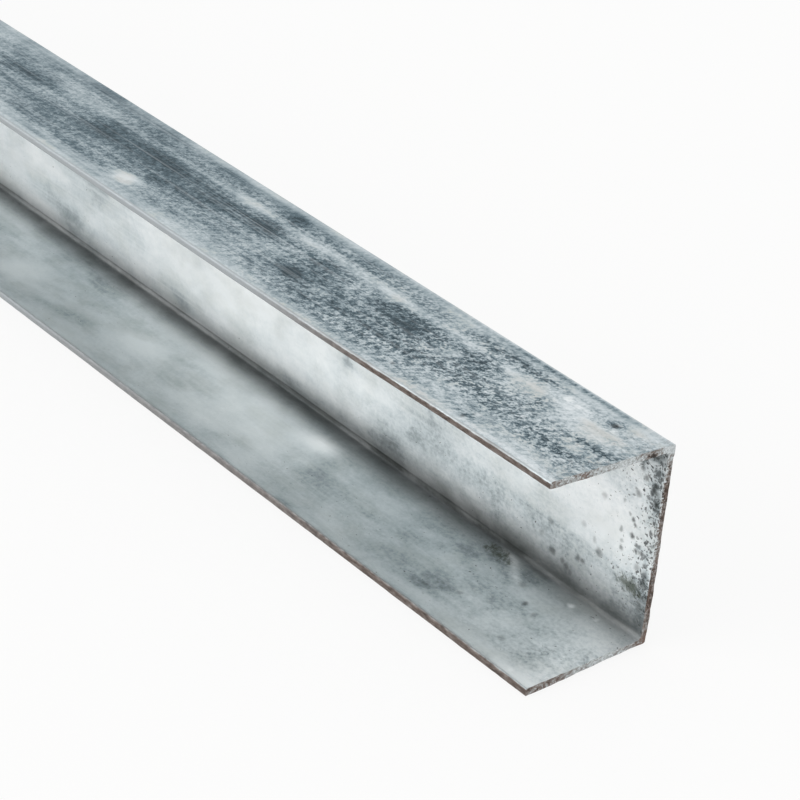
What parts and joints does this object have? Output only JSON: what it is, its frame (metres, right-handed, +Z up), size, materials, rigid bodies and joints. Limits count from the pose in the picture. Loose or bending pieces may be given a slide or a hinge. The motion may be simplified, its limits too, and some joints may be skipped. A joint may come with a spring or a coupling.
{
  "type": "steel channel",
  "caption": "Thin galvanised steel channel stock: a straight U section with a tall web, shorter square flanges, crisp bends and bare sheared free edges.",
  "frame": {"origin": "centre of the underside, where the piece lies on the outer face of its lower flange", "axes": "+X along the length, +Y out of the back of the web, +Z up; the trough opens towards -Y"},
  "size_m": [1, 0.021, 0.03],
  "materials": {
    "galvanised_steel": "weathered hot-dip zinc on cold-rolled steel strip: satin, mottled blue-grey, bare and thinly rusted on the slit edges and cut ends"
  },
  "bodies": {
    "root": {"channel": "galvanised_steel"}
  },
  "joints": []
}
